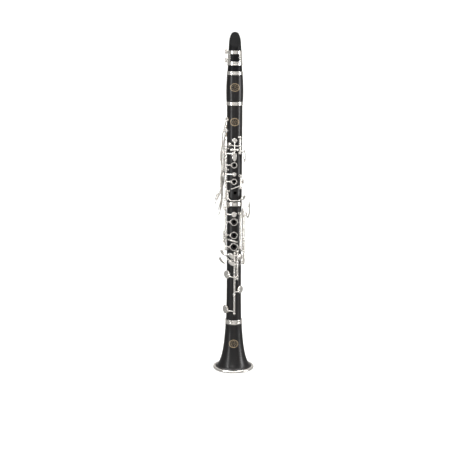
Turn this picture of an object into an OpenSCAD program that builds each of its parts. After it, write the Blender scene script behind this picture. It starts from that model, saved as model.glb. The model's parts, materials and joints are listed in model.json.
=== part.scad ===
// Soprano clarinet in B flat, seventeen keys and six rings, standing on its bell.
// Origin: centre of the bell's rim, on the bore axis. +Z runs up the bore and the tone holes face -Y.
// Places on the joints: an angle from the front towards +X, a distance from the bore axis and a height.

/* [Lengths up the bore axis] */
// Height of the bell, to the shoulder of the lower joint
bell_top = 102; // [100:1:104]
// Height of the seam between the lower and the upper joint
middle_seam = 341; // [340:0.5:342]
// Height of the seam between the upper joint and the barrel
barrel_seam = 530; // [528:1:534]
// Length of the barrel
barrel_length = 65; // [62:1:67]
// Length of the mouthpiece above the barrel
mouthpiece_length = 75; // [74:1:76]
// Gap left at each shoulder
seam_gap = 0.1; // [0.05:0.05:0.2]

/* [Bodies] */
// Radius of the bore
bore_r = 7.4; // [7.2:0.1:7.5]
// Radius of the upper joint's body
upper_r = 15; // [14.8:0.1:15.1]
// Radius of the lower joint's body at its middle
lower_r = 14.5; // [14.3:0.1:14.6]
// Radius of the bell's metal rim
rim_r = 41; // [40:0.5:42]
// Radius of the bell's throat, which a stand's peg fits
throat_r = 11; // [10.8:0.1:11.2]
// Clearance between a tenon's cork and its socket
tenon_gap = 0.05; // [0.02:0.01:0.1]

/* [Keywork] */
// Radius of the steel hinge rods
rod_r = 1; // [0.9:0.05:1.05]
// Running clearance of a key tube on its rod
rod_gap = 0.05; // [0.03:0.01:0.08]
// Radius of the key tubes
tube_r = 1.9; // [1.8:0.1:2]
// Radius of the balls on the posts
ball_r = 2.4; // [2.2:0.1:2.5]
// Radius of the round arms of the keys
arm_r = 1; // [0.8:0.1:1.1]
// Thickness of a pad
pad_t = 2; // [1.8:0.1:2.2]
// Clearance between a closed pad and its seat
pad_gap = 0.06; // [0.04:0.01:0.1]
// Angle that the ring keys stand open
ring_open = 4; // [3:0.5:4.5]

/* [Hidden] */
$fn = 48;
SILVER = [0.86, 0.85, 0.83];
STEEL = [0.6, 0.6, 0.62];
WOOD = [0.11, 0.1, 0.1];
EBONITE = [0.14, 0.14, 0.15];
CORK = [0.72, 0.55, 0.38];
SKIN = [0.86, 0.78, 0.62];
CANE = [0.85, 0.74, 0.45];

barrel_top = barrel_seam + barrel_length;
tip_z = barrel_top + mouthpiece_length;

// Tenons: outside radius of the cork, and how far the tenon reaches into its socket
bell_tenon_r = 13.2;
middle_tenon_r = 12.2;
barrel_tenon_r = 11.6;
mouthpiece_tenon_r = 11;
bell_tenon = 22;
middle_tenon = 17;
barrel_tenon = 17;
mouthpiece_tenon = 18;
cork_t = 1.2;

// Height of a tone hole's chimney and of a pad seat, from the bore axis
upper_chimney = upper_r + 2.6;
lower_chimney = lower_r + 2.8;
upper_seat = upper_r + 0.6;
lower_seat = lower_r + 0.7;
low_e_seat = lower_r + 1.9;

function polar(a, r, z) = [r * sin(a), -r * cos(a), z];

// Hinge lines, as points on each line
ring_line = [-17, -12, 0];
cross_line = polar(-42, 20, 0);
gsharp_line = polar(33, 20, 0);
sliver_line = polar(40, 20, 0);
thumb_line = polar(-140, 21, 0);
low_sliver_line = polar(-85, 20.4, 0);
pinky_line = [1, -20.2, 0];
outer_line = [6.6, -19.4, 0];
left_lines = [polar(37, 20.4, 0), polar(57, 20.4, 0), polar(77, 20.4, 0)];
register_pivot = [0, 21, 470];
throat_pivot = [0, -21.2, 445];

// Side keys: pivot, which lies along Y, and half the length of its tube
side_pivots = [[-20.5, -6, 481], [-18.5, 13.4, 462], [-20, 3.2, 450], [-20, 6.6, 405]];
side_half = 1.6;
side_post = 4;

// Angles that the open keys stand open
thumb_open = 4.6;
low_open = 5;

// ---- Building blocks ----

// Puts children on the joint: their +Z points away from the bore axis and their +Y points up
module at(a, z, r) {
    rotate([0, 0, a]) translate([0, -r, z]) rotate([90, 0, 0]) children();
}

// Round bar from one point to another
module bar(p, q, r = arm_r) {
    d = q - p;
    translate(p) rotate([0, acos(d[2] / norm(d)), atan2(d[1], d[0])]) cylinder(h = norm(d), r = r);
}

// Point a little way from one point towards another
function towards(p, q, d) = p + d * (q - p) / norm(q - p);

// Ball at q, where bars from p and to s meet. Its poles and its seam lie where neither bar reaches
module knuckle(p, q, s, r) {
    back = (p - q) / norm(p - q);
    ahead = (s - q) / norm(s - q);
    x = -(back + ahead) / norm(back + ahead);
    z = cross(back, ahead) / norm(cross(back, ahead));
    y = cross(z, x);
    frame = [[x[0], y[0], z[0], q[0]], [x[1], y[1], z[1], q[1]], [x[2], y[2], z[2], q[2]], [0, 0, 0, 1]];
    multmatrix(frame) sphere(r = r);
}

// Round bar through a list of points. A ball joins the bars at each bend; they stop just short of each other
module arm(points, r = arm_r) {
    last = len(points) - 1;
    stop = 0.45 * r;
    for (i = [0:last - 1]) {
        p = points[i];
        q = points[i + 1];
        bar(i > 0 ? towards(p, q, stop) : p, i + 1 < last ? towards(q, p, stop) : q, r);
    }
    if (last > 1) for (i = [1:last - 1]) knuckle(points[i - 1], points[i], points[i + 1], r * 1.12);
}

// Turns children about a line parallel to Z
module swing(line, angle) {
    translate(line) rotate([0, 0, angle]) translate(-line) children();
}

// Cylinder on a line parallel to Z, between two heights
module upright(line, z0, z1, r) {
    translate([line[0], line[1], z0]) cylinder(h = z1 - z0, r = r);
}

// Cylinder along X or along Y, centred on a point
module along_x(p, length, r) {
    translate(p) rotate([0, 90, 0]) cylinder(h = length, r = r, center = true);
}

module along_y(p, length, r) {
    translate(p) rotate([90, 0, 0]) cylinder(h = length, r = r, center = true);
}

// Post with a ball at its head and a collar at its foot
module post(p, body_r, ball = ball_r) {
    a = atan2(p[0], -p[1]);
    r = norm([p[0], p[1]]);
    at(a, p[2], r) sphere(r = ball);
    at(a, p[2], body_r - 1.8) cylinder(h = r - body_r + 1.8, r = 1.25);
    at(a, p[2], body_r - 0.6) cylinder(h = 1.2, r = 2.1);
}

// Cup over a pad: its lip, its shoulder and its low dome
module cup(a, z, seat, r) {
    at(a, z, seat) rotate_extrude()
        polygon([[0, 0.9], [r, 0.9], [r, 2.3], [r * 0.84, 2.75], [r * 0.5, 3.05], [0, 3.15]]);
}

module cup_space(a, z, seat, r) {
    at(a, z, seat - 1) cylinder(h = 1 + pad_t + pad_gap, r = r - 0.6);
}

module pad(a, z, seat, r) {
    color(SKIN) at(a, z, seat + pad_gap) cylinder(h = pad_t, r = r - 0.6);
}

// Finger ring
module ring(z, low, outer, side = 0) {
    at(side, z, low) cylinder(h = 1.5, r = outer);
}

module ring_space(z, low, inner, side = 0) {
    at(side, z, low - 3) cylinder(h = 8, r = inner);
}

// Oval plate that tapers towards its lower end, for a finger to press
function oval(length, width, taper = 0) =
    [for (i = [0:27]) let (t = i * 360 / 28)
        [width / 2 * cos(t) * (1 + taper * sin(t)), length / 2 * sin(t)]];

module touch(a, z, r, length, width, lean = 0, taper = 0, thick = 1.5) {
    at(a, z, r) rotate([0, 0, lean]) linear_extrude(thick) polygon(oval(length, width, taper));
}

// The same plate with its middle at a point, facing an angle from the front
module leaf(p, facing, length, width, lean = 0, taper = 0, thick = 1.5) {
    translate(p) at(facing, 0, 0) rotate([0, 0, lean]) linear_extrude(thick)
        polygon(oval(length, width, taper));
}

// ---- Bell ----

function bell_outside(z) = 15.6 + 18.6 * exp(-z / 35) + 6.5 * exp(-z / 4.5);
function bell_inside(z) = max(throat_r, 8.2 + 21.5 * exp(-z / 33) + 5 * exp(-z / 3.5));
bell_steps = [0.5, 1, 2, 3.5, 5.5, 8, 12, 17, 23, 30, 38, 47, 57, 68];

module bell_turning() {
    rotate_extrude() polygon(concat(
        [for (z = bell_steps) [bell_inside(z), z]],
        [[throat_r, bell_top - bell_tenon], [bell_tenon_r + tenon_gap, bell_top - bell_tenon],
            [bell_tenon_r + tenon_gap, bell_top], [15.4, bell_top], [15.4, bell_top - 9],
            [16.9, bell_top - 9.6], [16.9, bell_top - 13]],
        [for (i = [len(bell_steps) - 1:-1:4]) [bell_outside(bell_steps[i]), bell_steps[i]]],
        [[rim_r - 4.6, 4.6], [rim_r - 4.6, 0.5]]));
}

module bell() {
    color(WOOD) bell_turning();
}

module bell_rings() {
    color(SILVER) {
        rotate_extrude() difference() {
            union() {
                translate([rim_r - 4.6, 0]) square([2.4, 4.6]);
                translate([rim_r - 2.3, 2.3]) circle(r = 2.3);
            }
            translate([rim_r - 5.6, -1]) square([1, 7]);
        }
        rotate_extrude() polygon([[15.4, bell_top - 9], [16.6, bell_top - 9], [16.9, bell_top - 8.5],
            [16.9, bell_top - 5.4], [16.6, bell_top - 5], [16.6, bell_top - 4], [16.9, bell_top - 3.6],
            [16.9, bell_top - 0.5], [16.5, bell_top], [15.4, bell_top]]);
    }
}

// ---- Lower joint ----

// Each hole: angle, height, hole radius, chimney radius, and the chimney's top from the bore axis
lower_holes = [
    [0, 302.6, 3.1, 5.1, lower_chimney], [0, 276, 3.1, 5.1, lower_chimney],
    [0, 252.8, 3.6, 5.7, lower_chimney], [0, 317.5, 2.8, 4.6, lower_seat],
    [-125, 270, 2.4, 4, lower_seat], [-52, 195.8, 4.6, 7.4, lower_seat], [50, 165, 4.2, 7, lower_seat],
    [-62, 124, 4.8, 7.8, low_e_seat], [45, 231, 4, 6, lower_seat]];

module drilled(holes) {
    difference() {
        union() {
            children();
            for (h = holes) at(h[0], h[1], 9) cylinder(h = h[4] - 9, r = h[3]);
        }
        translate([0, 0, -1]) cylinder(h = tip_z, r = bore_r);
        for (h = holes) at(h[0], h[1], 5) cylinder(h = 16, r = h[2]);
    }
}

function lower_outside(z) = lower_r + 0.9 * pow(max(0, 190 - z) / 86, 2);

module lower_joint() {
    shoulder = bell_top + seam_gap;
    color(WOOD) difference() {
        drilled(lower_holes) {
            rotate_extrude() polygon(concat(
                [[0, bell_top - bell_tenon + seam_gap],
                    [bell_tenon_r - 0.4, bell_top - bell_tenon + seam_gap],
                    [bell_tenon_r - 0.4, bell_top - 19], [bell_tenon_r - cork_t, bell_top - 19],
                    [bell_tenon_r - cork_t, bell_top - 4], [bell_tenon_r - 0.4, bell_top - 4],
                    [bell_tenon_r - 0.4, shoulder]],
                [for (z = [shoulder, 118, 136, 156, 190]) [lower_outside(z), z]],
                [[lower_r, middle_seam - 12], [lower_r + 0.5, middle_seam - 8], [14.4, middle_seam - 7.4],
                    [14.4, middle_seam], [0, middle_seam]]));
        }
        translate([0, 0, middle_seam - middle_tenon - 0.5]) cylinder(h = 30, r = middle_tenon_r + tenon_gap);
        translate([0, 0, bell_top - bell_tenon - 1]) cylinder(h = 60, r1 = throat_r, r2 = bore_r);
    }
}

module lower_tenon_cork() {
    color(CORK) translate([0, 0, bell_top - 19]) difference() {
        cylinder(h = 15, r = bell_tenon_r);
        translate([0, 0, -1]) cylinder(h = 17, r = bell_tenon_r - cork_t);
    }
}

module lower_socket_ring() {
    color(SILVER) rotate_extrude() polygon([[14.4, middle_seam - 7.4], [15.6, middle_seam - 7.4],
        [15.9, middle_seam - 6.9], [15.9, middle_seam - 0.5], [15.5, middle_seam], [14.4, middle_seam]]);
}

lower_post_places = [
    [ring_line, 331.4], [ring_line, 246.8],
    [low_sliver_line, 279.4], [low_sliver_line, 260.6],
    [pinky_line, 240.6], [pinky_line, 156], [pinky_line, 117.6],
    [outer_line, 243.6], [outer_line, 222.6], [outer_line, 188.4],
    [left_lines[0], 318.6], [left_lines[0], 250.6], [left_lines[1], 318.6], [left_lines[1], 244],
    [left_lines[2], 318.6], [left_lines[2], 217]];

module lower_posts() {
    color(SILVER) difference() {
        union() for (p = lower_post_places) post([p[0][0], p[0][1], p[1]], lower_r);
        upright(pinky_line, 152, 160, shaft_r + rod_gap);
    }
}

// Rods end just inside the balls that hold them
lower_rod_spans = [
    [ring_line, 246.8, 331.4], [low_sliver_line, 260.6, 279.4], [outer_line, 188.4, 243.6],
    [left_lines[0], 250.6, 318.6], [left_lines[1], 244, 318.6], [left_lines[2], 217, 318.6]];

module lower_rods() {
    color(STEEL) {
        for (s = lower_rod_spans) upright(s[0], s[1] - 1.6, s[2] + 1.6, rod_r);
        upright(pinky_line, 115.8, 121, rod_r);
        upright(pinky_line, 237.4, 242.4, rod_r);
    }
}

thumb_rest_z = 288;

module thumb_rest() {
    color(SILVER) difference() {
        union() {
            intersection() {
                translate([0, 0, thumb_rest_z - 15]) difference() {
                    cylinder(h = 26, r = lower_r + 1.7);
                    translate([0, 0, -1]) cylinder(h = 28, r = lower_r + 0.02);
                }
                translate([-6, 0, thumb_rest_z - 16]) cube([12, 20, 28]);
            }
            translate([-6, lower_r + 0.6, thumb_rest_z - 4]) cube([12, 18, 2.2]);
            translate([-6, lower_r + 17, thumb_rest_z - 3]) rotate([0, 90, 0]) cylinder(h = 12, r = 1.6);
        }
        for (z = [-10.5, 5.5]) at(180, thumb_rest_z + z, lower_r - 1) cylinder(h = 4, r = 1.3);
    }
}

module thumb_rest_screws() {
    color(STEEL) for (z = [-10.5, 5.5]) at(180, thumb_rest_z + z, 0) difference() {
        union() {
            translate([0, 0, lower_r - 4]) cylinder(h = 6, r = 1.25);
            translate([0, 0, lower_r + 1.75]) cylinder(h = 1.1, r1 = 2.4, r2 = 2);
        }
        translate([-3, -0.3, lower_r + 2.3]) cube([6, 0.6, 2]);
    }
}

// ---- Upper joint ----

upper_holes = [
    [0, 415, 2.4, 3.3, upper_chimney], [0, 382.5, 2.5, 3.3, upper_chimney], [6, 360, 3.2, 5, upper_r - 0.1],
    [-5, 437.5, 2, 3.4, upper_seat], [0, 397, 2, 3.4, upper_seat], [0, 463, 2.2, 3.9, upper_seat],
    [-36, 455, 2, 3.4, upper_seat], [-62, 503, 2.2, 3.9, upper_seat], [-115, 488, 2.2, 3.9, upper_seat],
    [-88, 473, 2.2, 3.9, upper_seat], [-100, 431, 2.4, 4.2, upper_seat], [80, 381, 2.4, 4, upper_seat],
    [-76, 356, 2, 3.2, upper_seat]];

module upper_joint() {
    shoulder = middle_seam + seam_gap;
    low = middle_seam - middle_tenon;
    top = barrel_seam + barrel_tenon;
    color(WOOD) difference() {
        drilled(upper_holes) {
            rotate_extrude() polygon([
                [0, low], [middle_tenon_r - 0.4, low], [middle_tenon_r - 0.4, low + 2.5],
                [middle_tenon_r - cork_t, low + 2.5], [middle_tenon_r - cork_t, middle_seam - 3],
                [middle_tenon_r - 0.4, middle_seam - 3], [middle_tenon_r - 0.4, shoulder],
                [upper_r - 0.4, shoulder], [upper_r - 0.1, shoulder + 0.5], [upper_r, 440],
                [upper_r + 0.1, barrel_seam - 0.5], [upper_r - 0.3, barrel_seam],
                [barrel_tenon_r - 0.4, barrel_seam], [barrel_tenon_r - 0.4, barrel_seam + 3],
                [barrel_tenon_r - cork_t, barrel_seam + 3], [barrel_tenon_r - cork_t, top - 2.5],
                [barrel_tenon_r - 0.4, top - 2.5], [barrel_tenon_r - 0.4, top], [0, top]]);
        }
        at(180, 505, 5) cylinder(h = 14, r = 2);
        at(180, 428, 5) cylinder(h = 14, r = 4);
    }
}

module upper_tenon_corks() {
    top = barrel_seam + barrel_tenon;
    low = middle_seam - middle_tenon;
    color(CORK) {
        translate([0, 0, low + 2.5]) difference() {
            cylinder(h = middle_tenon - 5.5, r = middle_tenon_r);
            translate([0, 0, -1]) cylinder(h = middle_tenon, r = middle_tenon_r - cork_t);
        }
        translate([0, 0, barrel_seam + 3]) difference() {
            cylinder(h = barrel_tenon - 5.5, r = barrel_tenon_r);
            translate([0, 0, -1]) cylinder(h = barrel_tenon, r = barrel_tenon_r - cork_t);
        }
    }
}

// Metal tubes let into the back: the register vent and the thumb hole
module upper_bore_tubes() {
    color(SILVER) {
        at(180, 505, bore_r + 0.2) difference() {
            union() {
                cylinder(h = upper_seat - bore_r - 0.2, r = 2);
                translate([0, 0, upper_seat - bore_r - 0.9]) cylinder(h = 0.7, r = 3);
            }
            translate([0, 0, -1]) cylinder(h = 12, r = 1.3);
        }
        at(180, 428, bore_r + 0.2) difference() {
            cylinder(h = upper_chimney - bore_r - 0.2, r = 4);
            translate([0, 0, -1]) cylinder(h = 14, r = 3.2);
        }
    }
}

upper_upright_posts = [
    [ring_line, 446.4], [ring_line, 405], [ring_line, 346.2], [cross_line, 363.6],
    [gsharp_line, 469], [gsharp_line, 438], [sliver_line, 393.6], [sliver_line, 369.6],
    [thumb_line, 437.4], [thumb_line, 418.6]];
throat_half = 4.2;

module upper_posts() {
    color(SILVER) {
        for (p = upper_upright_posts) post([p[0][0], p[0][1], p[1]], upper_r);
        for (s = [-1, 1]) {
            post(throat_pivot + [s * (throat_half + 2.2), 0, 0], upper_r);
            post(register_pivot + [s * 6.2, 0, 0], upper_r);
            for (p = side_pivots) translate([0, 0, p[2]]) {
                head = [p[0], p[1] + s * side_post];
                foot_y = 0.7 * head[1];
                foot = [-sqrt(12.6 * 12.6 - foot_y * foot_y), foot_y];
                turn = atan2(foot[1] - head[1], foot[0] - head[0]);
                translate([head[0], head[1], 0]) rotate([0, 90, turn]) {
                    sphere(r = 1.9);
                    cylinder(h = norm(foot - head), r = 1.15);
                }
            }
        }
    }
}

module upper_rods() {
    color(STEEL) {
        upright(ring_line, 344.6, 448, rod_r);
        upright(cross_line, 345.6, 365.2, rod_r);
        upright(gsharp_line, 436.4, 470.6, rod_r);
        upright(sliver_line, 368, 395.2, rod_r);
        upright(thumb_line, 417, 439, rod_r);
        along_x(throat_pivot, 2 * throat_half + 7.6, rod_r);
        along_x(register_pivot, 15.6, rod_r);
        for (p = side_pivots) along_y(p, 2 * side_post + 3.2, rod_r);
    }
}

// ---- Barrel, mouthpiece, reed and ligature ----

function barrel_outside(z) = 16.6 - 0.0013 * pow(z - barrel_seam - 25, 2);

module barrel() {
    z0 = barrel_seam + seam_gap;
    z1 = barrel_top;
    color(WOOD) difference() {
        rotate_extrude() polygon(concat(
            [[0, z0], [14.4, z0], [14.4, z0 + 7], [15.9, z0 + 7.4]],
            [for (i = [0:8]) let (z = z0 + 10 + i * 5.7) [barrel_outside(z), z]],
            [[15.2, z1 - 7], [14.2, z1 - 6.6], [14.2, z1], [0, z1]]));
        translate([0, 0, z0 - 1]) cylinder(h = barrel_length + 2, r = bore_r);
        translate([0, 0, z0 - 1]) cylinder(h = barrel_tenon + 1.4, r = barrel_tenon_r + tenon_gap);
        translate([0, 0, z1 - mouthpiece_tenon - 0.4])
            cylinder(h = mouthpiece_tenon + 2, r = mouthpiece_tenon_r + tenon_gap);
    }
}

// Band with two beads and a groove between them
module band(z, height, inner, outer) {
    rotate_extrude() polygon([[inner, z], [outer - 0.3, z], [outer, z + 0.5], [outer, z + height * 0.44],
        [outer - 0.35, z + height * 0.5], [outer, z + height * 0.56], [outer, z + height - 0.5],
        [outer - 0.3, z + height], [inner, z + height]]);
}

module barrel_rings() {
    color(SILVER) {
        band(barrel_seam + seam_gap, 7, 14.4, 16);
        band(barrel_top - 6.6, 6.6, 14.2, 15.6);
    }
}

function mouthpiece_outside(z) = z < 47 ? 14.2 - z * 0.046 : 12.04 - (z - 47) * 0.02;

// Solid that the reed and the mouthpiece are both cut from
module mouthpiece_blank() {
    h = mouthpiece_length;
    translate([0, 0, barrel_top]) rotate_extrude() polygon([[0, seam_gap], [13.9, seam_gap],
        [mouthpiece_outside(0.6), 0.6], [mouthpiece_outside(47), 47], [mouthpiece_outside(h), h], [0, h]]);
}

// Outline of the beak from the front: straight sides, then a tip arch
module beak_outline() {
    h = mouthpiece_length;
    translate([0, 20, barrel_top]) rotate([90, 0, 0]) linear_extrude(40)
        polygon(concat([[-15, -30], [15, -30], [15, 20], [12.1, 43], [11.5, h - 19], [10.2, h - 11]],
            [for (i = [0:10]) let (t = 25 + i * 13) [8.4 * cos(t), h - 7.4 + 7.4 * sin(t)]],
            [[-10.2, h - 11], [-11.5, h - 19], [-12.1, 43], [-15, 20]]));
}

table_y = 8.4;

module mouthpiece() {
    h = mouthpiece_length;
    color(EBONITE) difference() {
        union() {
            intersection() {
                mouthpiece_blank();
                beak_outline();
            }
            translate([0, 0, barrel_top - mouthpiece_tenon]) rotate_extrude() polygon([
                [0, 0], [mouthpiece_tenon_r - 0.4, 0], [mouthpiece_tenon_r - 0.4, 3],
                [mouthpiece_tenon_r - cork_t, 3], [mouthpiece_tenon_r - cork_t, mouthpiece_tenon - 4],
                [mouthpiece_tenon_r - 0.4, mouthpiece_tenon - 4],
                [mouthpiece_tenon_r - 0.4, mouthpiece_tenon + 1], [0, mouthpiece_tenon + 1]]);
        }
        // beak slope on the front, and the table that the reed lies on at the back
        translate([-20, 0, barrel_top]) rotate([90, 0, 90]) linear_extrude(40)
            polygon([[-30, 42], [-12.2, 42], [-10.6, 47], [7, h - 0.2], [7, h + 5], [-30, h + 5]]);
        translate([-20, 0, barrel_top]) rotate([90, 0, 90]) linear_extrude(40)
            polygon([[table_y, 10], [30, 10], [30, h + 5], [table_y - 0.9, h + 5],
                [table_y - 0.9, h], [table_y, h - 22]]);
        // bore, chamber and window
        translate([0, 0, barrel_top - mouthpiece_tenon - 1]) cylinder(h = mouthpiece_tenon + 20, r = bore_r);
        translate([-4.6, 0, barrel_top]) rotate([90, 0, 90]) linear_extrude(9.2)
            polygon([[-5.6, 18], [5, 18], [table_y - 3, 34], [table_y + 1, 40], [table_y + 1, h - 3],
                [5.4, h - 5], [2, h - 16], [-3, h - 30]]);
    }
}

module mouthpiece_cork() {
    color(CORK) translate([0, 0, barrel_top - mouthpiece_tenon + 3]) difference() {
        cylinder(h = mouthpiece_tenon - 7, r = mouthpiece_tenon_r);
        translate([0, 0, -1]) cylinder(h = mouthpiece_tenon, r = mouthpiece_tenon_r - cork_t);
    }
}

module reed() {
    h = mouthpiece_length;
    heel = 10.4;
    color(CANE) intersection() {
        translate([0, 0, barrel_top]) rotate_extrude()
            polygon([[0, heel], [mouthpiece_outside(heel), heel], [mouthpiece_outside(47), 47],
                [mouthpiece_outside(h), h], [0, h]]);
        translate([-20, 0, barrel_top]) rotate([90, 0, 90]) linear_extrude(40)
            polygon([[table_y + 0.02, heel], [13.9, heel], [13.9, 36], [10.6, 46], [9.3, 60],
                [table_y + 0.4, h - 0.4], [table_y + 0.02, h - 0.4]]);
        translate([0, 20, barrel_top]) rotate([90, 0, 0]) linear_extrude(40)
            polygon(concat([[-5.6, heel - 1], [5.6, heel - 1], [6.4, h - 8]],
                [for (i = [1:8]) let (t = i * 20) [6.4 * cos(t), h - 8 + 7.4 * sin(t)]], [[-6.4, h - 8]]));
    }
}

ligature_low = 11.8;
ligature_high = 39.5;
screw_heights = [20.8, 37.4];
screw_y = 15.4;

module ligature() {
    z0 = barrel_top + ligature_low;
    height = ligature_high - ligature_low;
    color(SILVER) difference() {
        union() {
            translate([0, 0, z0]) cylinder(h = height, r1 = mouthpiece_outside(ligature_low) + 0.9,
                r2 = mouthpiece_outside(ligature_high) + 0.9);
            for (z = [0, height - 1.2]) translate([0, 0, z0 + z])
                cylinder(h = 1.2, r = mouthpiece_outside(ligature_low + z) + 1.25);
            for (z = screw_heights) for (x = [-3.6, 3.6])
                translate([x, screw_y - 1.5, barrel_top + z]) cube([3, 6.4, 5], center = true);
        }
        translate([0, 0, z0 - 1]) cylinder(h = height + 2, r1 = mouthpiece_outside(ligature_low - 1) + 0.06,
            r2 = mouthpiece_outside(ligature_high + 1) + 0.06);
        // windows in front, at both sides and beside the reed, and the split at the back
        translate([-9, -20, z0 + 6.8]) cube([18, 14, height - 13]);
        for (s = [-1, 1]) {
            translate([s * 20 - 10, -1, z0 + 8]) cube([20, 9, 4.5]);
            translate([s * 20 - 10, -1, z0 + height - 12.5]) cube([20, 9, 4.5]);
        }
        translate([-2, 5, z0 - 1]) cube([4, 20, height + 2]);
        for (z = screw_heights) along_x([0, screw_y, barrel_top + z], 40, 1.3 + rod_gap);
    }
}

// Screw across the lugs, with a flat thumb head on the -X side
module ligature_screw(z) {
    color(SILVER) {
        along_x([-3.4, screw_y, z], 22, 1.3);
        along_x([-11.6, screw_y, z], 5.6, 2.1);
        difference() {
            along_x([-16.4, screw_y, z], 5.2, 4.5);
            for (s = [-1, 1]) translate([-19.2, screw_y + s * 1.4, z - 6]) mirror([0, s < 0 ? 1 : 0, 0])
                cube([4.4, 6, 12]);
        }
    }
}

module ligature_screw_upper() {
    ligature_screw(barrel_top + screw_heights[1]);
}

module ligature_screw_lower() {
    ligature_screw(barrel_top + screw_heights[0]);
}

// ---- Keys on the upper joint ----

module register_key() {
    p = register_pivot;
    color(SILVER) difference() {
        union() {
            along_x(p, 7.4, tube_r);
            arm([[0, 19.2, 503], [0, 20.6, 494], [0, 22, 478], p + [0, 1.6, 0], [0, 23, 460],
                [0, 22.6, 448]], 1.2);
            cup(180, 505, upper_seat, 3.4);
            touch(180, 446, 21.8, 17, 7, 0, 0.12);
        }
        along_x(p, 20, rod_r + rod_gap);
        cup_space(180, 505, upper_seat, 3.4);
    }
}

module register_pad() {
    pad(180, 505, upper_seat, 3.4);
}

module thumb_ring_key() {
    color(SILVER) swing(thumb_line, thumb_open) difference() {
        union() {
            upright(thumb_line, 421.2, 434.8, tube_r);
            arm([thumb_line + [0, 0, 428], [-9, 17.4, 428], [-5.4, 17.2, 428]]);
            ring(428, upper_chimney - 1.3, 6.6, 180);
            arm([thumb_line + [0, 0, 431], polar(-127, 18, 434), polar(-114, 17.7, 439.5),
                polar(-96, 17.9, 442), polar(-80, 17.9, 441)], 0.7);
        }
        upright(thumb_line, 419, 437, rod_r + rod_gap);
        ring_space(428, upper_chimney - 1.3, 5.1, 180);
    }
}

module ring_line_key(z0, z1) {
    difference() {
        union() {
            upright(ring_line, z0, z1, tube_r);
            children(0);
        }
        upright(ring_line, z0 - 1, z1 + 1, rod_r + rod_gap);
        children(1);
    }
}

module ring_arm(z, low, outer) {
    arm([ring_line + [0, 0, z], [0.6 - outer, -low - 0.75, z]]);
    ring(z, low, outer);
    at(0, z, low + 0.1) linear_extrude(1.3)
        polygon([[-outer * 0.5, outer * 0.8], [-outer - 2.6, 0.9], [-outer - 2.6, -0.9],
            [-outer * 0.5, -outer * 0.8]]);
}

first_pad = [-5, 437.5, upper_seat, 3.9];
second_pad = [0, 397, upper_seat, 4];

module cup_of(p) {
    cup(p[0], p[1], p[2], p[3]);
}

module cup_space_of(p) {
    cup_space(p[0], p[1], p[2], p[3]);
}

module pad_of(p) {
    pad(p[0], p[1], p[2], p[3]);
}

// Bar from a hinge line over to the middle of a cup
module cup_arm(line, p, r = arm_r) {
    arm([line + [0, 0, p[1]], polar(p[0], p[2] + 2.7, p[1])], r);
}

module first_ring_key() {
    low = upper_chimney - 1.3;
    color(SILVER) swing(ring_line, -ring_open) ring_line_key(407.7, 443.7) {
        union() {
            ring_arm(415, low, 6);
            cup_arm(ring_line, first_pad);
            cup_of(first_pad);
        }
        union() {
            ring_space(415, low, 4.4);
            cup_space_of(first_pad);
        }
    }
}

module first_ring_pad() {
    swing(ring_line, -ring_open) pad_of(first_pad);
}

module second_ring_key() {
    low = upper_chimney - 1.3;
    color(SILVER) swing(ring_line, -ring_open) ring_line_key(349, 402.3) {
        union() {
            ring_arm(382.5, low, 6);
            cup_arm(ring_line, second_pad);
            cup_of(second_pad);
            arm([ring_line + [0, 0, 351], ring_line + [-3.4, -2.4, 349], ring_line + [-3.4, -2.4, 337]]);
        }
        union() {
            ring_space(382.5, low, 4.4);
            cup_space_of(second_pad);
        }
    }
}

module second_ring_pad() {
    swing(ring_line, -ring_open) pad_of(second_pad);
}

throat_a = [0, 463, upper_seat, 4.5];

module throat_a_key() {
    p = throat_pivot;
    color(SILVER) difference() {
        union() {
            along_x(p, 2 * throat_half - 0.4, tube_r);
            arm([polar(0, upper_seat + 2.9, 462), [0, -20.6, 455], p + [0, -0.4, 0],
                [0, -22.2, 438]], 1.1);
            cup_of(throat_a);
            touch(0, 431.5, 21.6, 17, 9, 0, 0.1);
        }
        along_x(p, 30, rod_r + rod_gap);
        cup_space_of(throat_a);
    }
}

module throat_a_pad() {
    pad_of(throat_a);
}

gsharp = [-36, 455, upper_seat, 4];

module throat_g_sharp_key() {
    color(SILVER) difference() {
        union() {
            upright(gsharp_line, 440.7, 466.3, tube_r);
            arm([gsharp_line + [0, 0, 452.5], [3, -17.6, 452.5], [-3, -17.8, 452.8],
                polar(-34, 18.4, 455)], 0.9);
            cup_of(gsharp);
            arm([gsharp_line + [0, 0, 444], polar(46, 21.5, 441), polar(58, 22, 436)], 1);
            touch(62, 432, 21.2, 24, 7, 8, 0.1);
        }
        upright(gsharp_line, 430, 470, rod_r + rod_gap);
        cup_space_of(gsharp);
    }
}

module throat_g_sharp_pad() {
    pad_of(gsharp);
}

// Each side key: its pad, the height that its arm leaves, its lane down the joint and its touch
side_pads = [[-62, 503, upper_seat, 4.5], [-115, 488, upper_seat, 4.5], [-88, 473, upper_seat, 4.5],
    [-100, 431, upper_seat, 4.8]];
side_lanes = [
    [[-24, -6, 473], [-23.6, -4.6, 455], [-26.4, -2.6, 438], [-26.4, -1.4, 425], [-24.6, -1.2, 407],
        [-26.6, -1, 390], [-27, -1, 362], [-34, -1, 353]],
    [[-20.4, 14, 450], [-21, 14.8, 420], [-21.4, 14.6, 382], [-25, 12.6, 366], [-34, 8, 344]],
    [[-22.6, 3.2, 440], [-24.4, 2.8, 431], [-25.2, 2.6, 405], [-25.6, 2.6, 380], [-26, 2.4, 345],
        [-28.4, 2.4, 334]],
    [[-23, 6.8, 396], [-24.4, 6.8, 380], [-24.6, 6.8, 345], [-27.4, 7.4, 324]]];
side_touches = [[-36, -1, 350.5], [-36, 7, 341], [-29.6, 2, 329.5], [-28.8, 7.6, 318]];

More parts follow.
